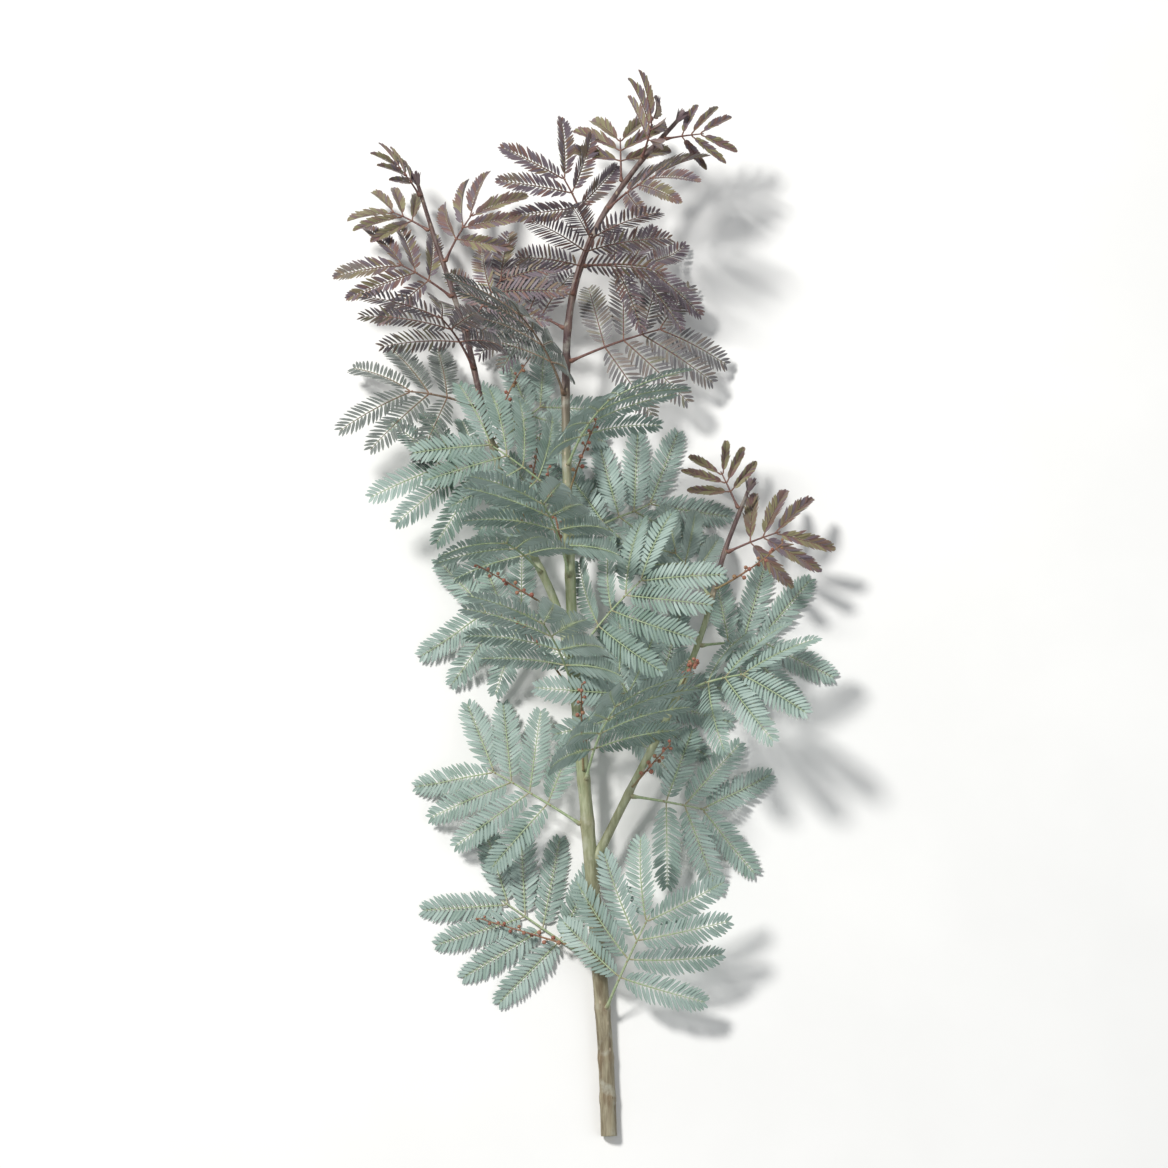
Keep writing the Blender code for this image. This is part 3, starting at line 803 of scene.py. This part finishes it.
def add_bark(mesh, shoot, leaves, is_side):
    """A shoot's bark, with ridges that run down from each leaf and swollen nodes, and the bud at its tip.
    The main shoot has the cut end and the scars of stripped leaves too."""
    rings = int(shoot.length / BARK_STEP)
    scars = [] if is_side else stripped_places(shoot)
    nodes = scars + [(leaf["s"], petiole_turn(leaf)) for leaf in leaves if leaf["shoot"] is shoot]
    main = SHOOT_LIST[0]
    from_cut = (shoot.points[0].y - main.points[0].y) / main.length
    own_noise = sum(ord(letter) for letter in shoot.name) * 0.37
    corners, looks = [], []
    for ring in range(rings + 1):
        s = shoot.length * ring / rings
        centre, forward = shoot.at(s)
        up = (UP - forward * UP.dot(forward)).normalized()
        across = forward.cross(up)
        radius = shoot.radius(s)
        youth = youth_at(shoot, s, *BARK_YOUTH)
        flare, closing = 0.0, 1.0
        if is_side:
            flare = FORK_FLARE * math.exp(-(s / FORK_REACH) ** 2)
            closing = max(0.05, math.sqrt(1 - (1 - min(s / COLLAR, 1.0)) ** 2))
        for i in range(BARK_SIDES):
            angle = 2 * math.pi * i / BARK_SIDES
            way = up * math.cos(angle) + across * math.sin(angle)
            swell = 0.0
            for place, azimuth in nodes:
                behind = place - s
                if -NODE_TOP < behind < RIDGE_LENGTH:
                    apart = abs((angle - azimuth + math.pi) % (2 * math.pi) - math.pi)
                    ridge = math.exp(-(apart / RIDGE_HALF_ANGLE) ** 2)
                    fade = math.exp(-behind / RIDGE_FADE) if behind > 0 else max(0.0, 1 + behind / RIDGE_TOP)
                    swell += RIDGE_HEIGHT * ridge * fade + NODE_SWELL * math.exp(-(behind / NODE_REACH) ** 2)
            rough = noise.noise(Vector((angle * 2.2, s * 180, own_noise))) * 0.035
            rough += noise.noise(Vector((angle * 5.0, s * 900, 3.0))) * 0.02
            reach = radius * (1 + min(swell, MOST_SWELL) + flare + rough) * closing
            corners.append(grounded(centre + way * reach))
            looks.append((min(1.0, swell * 4), from_cut + s / main.length, i / BARK_SIDES, youth))
    faces = side_faces(rings + 1, BARK_SIDES) + [last_cap(len(corners), BARK_SIDES)]
    if is_side:
        faces.append(first_cap(BARK_SIDES))
    mesh.add(corners, faces, looks, 0)
    if not is_side:
        add_cut(mesh, corners[:BARK_SIDES], shoot.at(0.0))
        for s, azimuth in scars:
            add_scar(mesh, shoot, s, azimuth)
    tip, way = shoot.at(shoot.length)
    add_tip(mesh, tip, way, shoot.radius(shoot.length))


def add_cut(mesh, rim, station):
    """The cut face: rings from the bark's edge to the pith."""
    centre = sum(rim, Vector()) / len(rim)
    way = station[1]
    corners, looks = [], []
    steps = ((1.0, 0.0), (0.9, -0.05), (0.84, 0.03), (0.5, 0.0), (0.2, 0.03), (0.16, 0.16), (0.04, 0.18))
    for share, depth in steps:
        for corner in rim:
            corners.append(centre + (corner - centre) * share + way * depth * MM)
            looks.append((0.5, 0.0, share, 0.0))
    faces = [(b, a, d, c) for a, b, c, d in side_faces(len(steps), len(rim))]
    faces.append(last_cap(len(corners), len(rim))[::-1])
    mesh.add(corners, faces, looks, 1)


def add_tip(mesh, tip, way, radius):
    """The bud that ends a shoot, in pairs of small leaflets."""
    face = way.orthogonal().normalized()
    marks = ((-0.4, 1.0), (0.0, 1.05), (0.6, 1.3), (1.4, 1.25), (2.4, 0.8), (3.2, 0.15))
    stations = [(tip + way * h * MM, way, face) for h, _ in marks]
    looks = [(0.0, 1.0, 0.0, 1.0)] * len(marks)
    add_tube(mesh, stations, [radius * r for _, r in marks], 12, looks, 0)
    for i in range(6):
        out = turned(face, way, math.radians(GOLDEN_TURN) * i)
        lean = (way + out * (0.20 + 0.07 * i)).normalized()
        upper = (out - lean * out.dot(lean)).normalized()
        base = tip + way * (1.2 - 0.75 * i) * MM + out * radius * 0.7
        length, half_width, tint, youth, bow = (3.6 + 0.6 * i) * MM, 0.75 * MM, 0.5, 1.0, 0.0
        for hand in (1, -1):
            across = lean.cross(upper) * hand
            along = (lean + lean.cross(upper) * 0.13 * hand).normalized()
            add_leaflet(mesh, base, along, across, -upper, length, half_width, tint, youth, bow, 2)


def add_hairs(mesh, shoot, draw):
    """Short fine hairs that stand off the young part of a shoot, thinning out below it."""
    for _ in range(HAIRS_PER_SHOOT):
        s = shoot.length - shoot.bronze * 1.15 * draw.random() ** 1.4
        centre, forward = shoot.at(s)
        out = shoot.outward(s, draw.uniform(-math.pi, math.pi))
        way = (out + forward * draw.uniform(-0.1, 0.7)).normalized()
        side = out.cross(forward)
        foot = centre + out * shoot.radius(s) * 0.97
        length = draw.uniform(0.35, 0.8) * MM
        corners = [foot + side * HAIR_RADIUS, foot - side * HAIR_RADIUS]
        corners += [foot + forward * HAIR_RADIUS, foot + way * length]
        faces = [(0, 2, 1), (0, 1, 3), (1, 2, 3), (2, 0, 3)]
        mesh.add(corners, faces, [(0.5, 0.0, 0.0, 0.5)] * 4, 3)


def make_stem(leaves, finishes):
    main, *sides = SHOOT_LIST
    draw = random.Random(SEED)
    mesh = Mesh()
    add_bark(mesh, main, leaves, False)
    for shoot in sides:
        add_bark(mesh, shoot, leaves, True)
    for shoot in SHOOT_LIST:
        add_hairs(mesh, shoot, draw)
    obj = mesh.make("stem_fine", finishes)
    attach(obj, "root")
    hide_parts("stem")


class Nodes:
    """A material's node tree, with short calls for the nodes used here."""

    def __init__(self, name):
        self.material = bpy.data.materials.new(name)
        self.material.use_nodes = True
        self.tree = self.material.node_tree
        self.shader = self.tree.nodes["Principled BSDF"]
        look = self.tree.nodes.new("ShaderNodeVertexColor")
        look.layer_name = "look"
        split = self.tree.nodes.new("ShaderNodeSeparateColor")
        self.link(look.outputs["Color"], split.inputs["Color"])
        self.tint, self.along, self.across = split.outputs
        self.youth = look.outputs["Alpha"]
        self.place = self.tree.nodes.new("ShaderNodeTexCoord").outputs["Object"]

    def link(self, a, b):
        self.tree.links.new(a, b)

    def put(self, socket, value):
        if isinstance(value, bpy.types.NodeSocket):
            self.link(value, socket)
        elif isinstance(value, tuple) and len(value) == 3 and socket.type == "RGBA":
            socket.default_value = (*value, 1)
        else:
            socket.default_value = value

    def fill(self, node, **inputs):
        """Sets or links inputs by their names, with an underscore for each space."""
        for name, value in inputs.items():
            self.put(node.inputs[name.replace("_", " ")], value)

    def mix(self, share, a, b):
        node = self.tree.nodes.new("ShaderNodeMix")
        node.data_type = "RGBA"
        self.fill(node, Factor=share, A=a, B=b)
        return node.outputs["Result"]

    def math(self, operation, a, b=0.0):
        node = self.tree.nodes.new("ShaderNodeMath")
        node.operation = operation
        self.put(node.inputs[0], a)
        self.put(node.inputs[1], b)
        return node.outputs[0]

    def span(self, value, low, high, out_low=0.0, out_high=1.0):
        node = self.tree.nodes.new("ShaderNodeMapRange")
        node.interpolation_type = "SMOOTHSTEP"
        self.fill(node, Value=value, From_Min=low, From_Max=high, To_Min=out_low, To_Max=out_high)
        return node.outputs["Result"]

    def noise(self, scale, detail=3.0, vector=None, roughness=0.55):
        node = self.tree.nodes.new("ShaderNodeTexNoise")
        self.fill(node, Scale=scale, Detail=detail, Roughness=roughness, Vector=vector or self.place)
        return node.outputs["Fac"]

    def stretched(self, x, y, z):
        node = self.tree.nodes.new("ShaderNodeMapping")
        self.fill(node, Scale=(x, y, z), Vector=self.place)
        return node.outputs["Vector"]

    def bump(self, height, strength, distance):
        node = self.tree.nodes.new("ShaderNodeBump")
        self.fill(node, Strength=strength, Distance=distance, Height=height)
        self.link(node.outputs["Normal"], self.shader.inputs["Normal"])

    def done(self, colour, roughness, **sockets):
        self.fill(self.shader, Base_Color=colour, Roughness=roughness, **sockets)
        return self.material


def leaflet_finish():
    """Blue-green with a waxy bloom; bronze, olive and dark purple where it is young."""
    n = Nodes("leaflet_wax")
    patch = n.noise(38.0, 3.0)
    green = n.mix(n.tint, (0.120, 0.196, 0.152), (0.305, 0.402, 0.370))
    green = n.mix(n.span(patch, 0.35, 0.70, 0.0, 0.55), green, (0.405, 0.500, 0.475))
    young = n.mix(n.span(n.tint, 0.0, 0.4), (0.050, 0.033, 0.050), (0.150, 0.120, 0.150))
    young = n.mix(n.span(n.tint, 0.40, 0.65, 0.0, 0.85), young, (0.175, 0.082, 0.062))
    young = n.mix(n.span(n.tint, 0.62, 0.82, 0.0, 0.9), young, (0.235, 0.225, 0.105))
    young = n.mix(n.span(n.noise(55.0, 2.0), 0.54, 0.72, 0.0, 0.55), young, (0.205, 0.190, 0.100))
    half_grown = n.mix(n.tint, (0.085, 0.098, 0.098), (0.175, 0.200, 0.180))
    colour = n.mix(n.span(n.youth, 0.05, 0.45), green, half_grown)
    colour = n.mix(n.span(n.youth, 0.40, 0.90), colour, young)
    rib = n.span(n.across, 0.0, 0.30, 0.45, 0.0)
    colour = n.mix(rib, colour, n.mix(n.youth, (0.36, 0.47, 0.36), (0.20, 0.13, 0.11)))
    # Painted shade: each leaflet's margin is darkened to stand in for the shade in the gaps between
    # neighbouring leaflets.
    painted_gap_shade = n.span(n.across, 0.62, 1.0, 0.0, 0.5)
    colour = n.mix(painted_gap_shade, colour, n.mix(n.youth, (0.095, 0.160, 0.128), (0.045, 0.028, 0.035)))
    base = n.span(n.along, 0.0, 0.22, 0.5, 0.0)
    colour = n.mix(base, colour, (0.33, 0.40, 0.22))
    dried = n.span(n.noise(420.0, 1.0), 0.45, 0.65, 0.0, 0.6)
    dry_tip = n.math("MULTIPLY", n.span(n.along, 0.86, 1.0), dried)
    colour = n.mix(dry_tip, colour, (0.34, 0.25, 0.12))
    bloom = n.noise(2600.0, 2.0)
    fading = n.span(n.youth, 0.0, 1.0, 1.0, 0.35)
    waxy = n.math("MULTIPLY", n.span(bloom, 0.45, 0.75, 0.0, 0.22), fading)
    colour = n.mix(waxy, colour, (0.52, 0.60, 0.59))
    n.bump(n.noise(4200.0, 2.0), 0.25, 0.00008)
    return n.done(colour, n.span(bloom, 0.3, 0.8, 0.46, 0.66), Sheen_Weight=0.18, Sheen_Roughness=0.45,
                  Specular_IOR_Level=0.42)


def stalk_finish():
    """Petioles and ribs: pale green, purple-brown where they are young."""
    n = Nodes("stalk_skin")
    streak = n.noise(900.0, 3.0)
    green = n.mix(n.span(streak, 0.35, 0.7), (0.27, 0.36, 0.19), (0.42, 0.48, 0.31))
    brown = n.mix(n.span(streak, 0.35, 0.7), (0.105, 0.045, 0.045), (0.215, 0.115, 0.090))
    colour = n.mix(n.span(n.youth, 0.05, 0.6), green, brown)
    colour = n.mix(n.span(n.along, 0.0, 0.12, 0.5, 0.0), colour, (0.26, 0.13, 0.08))
    n.bump(n.noise(3000.0, 2.0), 0.3, 0.0001)
    return n.done(colour, 0.52, Specular_IOR_Level=0.45)


def bud_finish():
    """Closed flower buds: red-brown with paler, olive-pink crowns, and painted shade in the low gaps between
    them.
    """
    n = Nodes("bud_skin")
    crown = n.mix(n.tint, (0.36, 0.125, 0.085), (0.47, 0.235, 0.155))
    crown = n.mix(n.span(n.noise(160.0, 2.0), 0.52, 0.7, 0.0, 0.6), crown, (0.33, 0.29, 0.12))
    # Painted shade: the low gaps between the small buds are darkened by their height on the globe, where
    # shade would fall.
    colour = n.mix(n.span(n.across, 0.0, 0.75), (0.105, 0.032, 0.028), crown)
    speck = n.noise(3800.0, 2.0)
    colour = n.mix(n.span(speck, 0.55, 0.75, 0.0, 0.35), colour, (0.55, 0.40, 0.30))
    n.bump(speck, 0.35, 0.0001)
    return n.done(colour, 0.58, Specular_IOR_Level=0.4)


def raceme_stalk_finish():
    n = Nodes("raceme_stalk_skin")
    streak = n.noise(1100.0, 3.0)
    colour = n.mix(n.span(streak, 0.35, 0.7), (0.215, 0.085, 0.060), (0.33, 0.20, 0.12))
    colour = n.mix(n.span(n.along, 0.0, 0.5, 0.55, 0.0), colour, (0.28, 0.29, 0.14))
    n.bump(streak, 0.3, 0.0001)
    return n.done(colour, 0.55, Specular_IOR_Level=0.45)


def bark_finish():
    """Grey-olive below, green in the middle, purple-brown above, with streaks, bloom and pale lenticels."""
    n = Nodes("bark_skin")
    streak = n.noise(420.0, 5.0, n.stretched(1.0, 0.10, 1.0), 0.65)
    patch = n.noise(46.0, 3.0)
    low = n.mix(n.span(streak, 0.32, 0.68), (0.135, 0.105, 0.062), (0.345, 0.315, 0.215))
    middle = n.mix(n.span(streak, 0.32, 0.68), (0.205, 0.245, 0.125), (0.375, 0.420, 0.270))
    high = n.mix(n.span(streak, 0.32, 0.68), (0.055, 0.030, 0.034), (0.150, 0.098, 0.090))
    where = n.math("ADD", n.along, n.math("MULTIPLY", n.math("SUBTRACT", patch, 0.5), 0.22))
    colour = n.mix(n.span(where, 0.08, 0.42), low, middle)
    colour = n.mix(n.youth, colour, high)
    colour = n.mix(n.math("MULTIPLY", n.tint, 0.3), colour, (0.30, 0.20, 0.12))
    bloom = n.span(n.noise(150.0, 4.0), 0.52, 0.72, 0.0, 0.45)
    colour = n.mix(bloom, colour, (0.46, 0.47, 0.40))
    spots = n.tree.nodes.new("ShaderNodeTexVoronoi")
    n.fill(spots, Scale=330.0, Vector=n.stretched(1.0, 0.55, 1.0))
    lenticel = n.span(spots.outputs["Distance"], 0.10, 0.20, 1.0, 0.0)
    colour = n.mix(n.math("MULTIPLY", lenticel, 0.6), colour, (0.50, 0.42, 0.30))
    height = n.math("ADD", streak, n.math("MULTIPLY", lenticel, 0.5))
    n.bump(height, 0.7, 0.00022)
    return n.done(colour, n.span(streak, 0.3, 0.7, 0.72, 0.5), Specular_IOR_Level=0.4)


def cut_finish():
    """The cut face: bark, a green layer, pale wood with rays, and a soft pith."""
    n = Nodes("cut_wood")
    fibre = n.noise(2600.0, 3.0)
    wood = n.mix(n.span(fibre, 0.3, 0.7), (0.55, 0.45, 0.27), (0.74, 0.66, 0.47))
    pith = n.mix(n.span(fibre, 0.3, 0.7), (0.36, 0.26, 0.14), (0.52, 0.42, 0.26))
    colour = n.mix(n.span(n.across, 0.14, 0.22), pith, wood)
    colour = n.mix(n.span(n.across, 0.80, 0.86), colour, (0.33, 0.38, 0.15))
    colour = n.mix(n.span(n.across, 0.90, 0.95), colour, (0.17, 0.125, 0.07))
    n.bump(fibre, 0.6, 0.0002)
    return n.done(colour, 0.78)


def hair_finish():
    n = Nodes("hair_down")
    return n.done(n.mix(n.noise(500.0, 1.0), (0.42, 0.36, 0.28), (0.62, 0.58, 0.50)), 0.5)


def floor_finish():
    n = Nodes("pale_floor")
    grain = n.noise(9.0, 4.0)
    return n.done(n.mix(n.span(grain, 0.3, 0.7), (0.83, 0.83, 0.82), (0.86, 0.86, 0.85)), 0.8)


CAMERA_TILT = math.radians(76)  # how far above the horizon the camera stands, looking down on the sprig
CAMERA_LENS = 85
FRAME_FILL = 0.94
KEY_LIGHT = dict(place=(-0.9, 0.9, 1.5), size=0.36, power=37, colour=(1.0, 0.985, 0.96))
FILL_LIGHT = dict(place=(1.2, -0.2, 1.2), size=1.4, power=6, colour=(0.95, 0.98, 1.0))
SKY_COLOUR = (0.93, 0.95, 0.97, 1)
SKY_STRENGTH = 0.34
FLOOR_REACH = 12.0
FLOOR_DROP = 0.0002  # keeps the floor clear of the flat spot that rests on it


def add_camera(low, high):
    """A camera over the sprig, with its tip at the top of the picture."""
    camera = bpy.data.cameras.new("camera")
    camera.lens = CAMERA_LENS
    obj = bpy.data.objects.new("camera", camera)
    bpy.context.scene.collection.objects.link(obj)
    middle = (Vector(low) + Vector(high)) / 2
    length = (high[1] - low[1]) * math.sin(CAMERA_TILT) + (high[2] - low[2]) * math.cos(CAMERA_TILT)
    distance = length / FRAME_FILL / 2 / math.tan(camera.angle / 2)
    back = Vector((0, -math.cos(CAMERA_TILT), math.sin(CAMERA_TILT)))
    obj.location = middle + back * distance
    obj.rotation_euler = back.to_track_quat("Z", "Y").to_euler()
    bpy.context.scene.camera = obj


def add_light(name, place, aim, size, power, colour):
    light = bpy.data.lights.new(name, "AREA")
    light.shape = "DISK"
    light.size = size
    light.energy = power
    light.color = colour
    obj = bpy.data.objects.new(name, light)
    bpy.context.scene.collection.objects.link(obj)
    obj.location = place
    obj.rotation_euler = (Vector(place) - Vector(aim)).to_track_quat("Z", "Y").to_euler()


def add_studio(low, high):
    middle = (Vector(low) + Vector(high)) / 2
    add_light("key", aim=middle, **KEY_LIGHT)
    add_light("fill", aim=middle, **FILL_LIGHT)
    world = bpy.data.worlds.new("studio")
    world.use_nodes = True
    sky = world.node_tree.nodes["Background"]
    sky.inputs["Color"].default_value = SKY_COLOUR
    sky.inputs["Strength"].default_value = SKY_STRENGTH
    bpy.context.scene.world = world
    bpy.context.scene.view_settings.view_transform = "Standard"

    mesh = bpy.data.meshes.new("floor")
    corners = [(x * FLOOR_REACH, y * FLOOR_REACH, 0) for x, y in ((-1, -1), (1, -1), (1, 1), (-1, 1))]
    mesh.from_pydata(corners, [], [(0, 1, 2, 3)])
    mesh.materials.append(floor_finish())
    floor = bpy.data.objects.new("floor", mesh)
    bpy.context.scene.collection.objects.link(floor)
    floor.location.z = -FLOOR_DROP


def leaf_name(number, leaf):
    return ("young_leaf_" if leaf["bronze"] else "leaf_") + leaf["shoot"].name + f"_{number:02d}"


def raceme_name(number, raceme):
    return f"raceme_{raceme['shoot'].name}_{number:02d}"


def main():
    stems = {shoot.name: tree_of(*shoot_tube(shoot, CLEAR_HALF_THICK)) for shoot in SHOOT_LIST}
    taken = []
    leaves = grown_leaves(stems, taken)
    racemes = grown_racemes(leaves, stems, taken)

    leaf_finishes = [leaflet_finish(), stalk_finish()]
    raceme_finishes = [bud_finish(), raceme_stalk_finish()]
    make_stem(leaves, [bark_finish(), cut_finish(), leaf_finishes[0], hair_finish()])
    for number, leaf in enumerate(leaves, 1):
        make_leaf(leaf_name(number, leaf), leaf, leaf_finishes)
    for number, raceme in enumerate(racemes, 1):
        make_raceme(raceme_name(number, raceme), raceme, raceme_finishes)
    add_camera(*CAD_BOX)
    add_studio(*CAD_BOX)


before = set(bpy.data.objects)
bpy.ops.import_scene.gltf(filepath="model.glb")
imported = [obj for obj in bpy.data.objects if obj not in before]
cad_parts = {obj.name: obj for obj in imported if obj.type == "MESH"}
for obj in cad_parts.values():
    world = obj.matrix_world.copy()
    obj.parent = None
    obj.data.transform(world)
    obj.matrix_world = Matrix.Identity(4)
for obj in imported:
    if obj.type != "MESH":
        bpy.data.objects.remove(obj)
CAD_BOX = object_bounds()
SHOOT_LIST = [Shoot(name, **rules) for name, rules in SHOOTS.items()]
main()
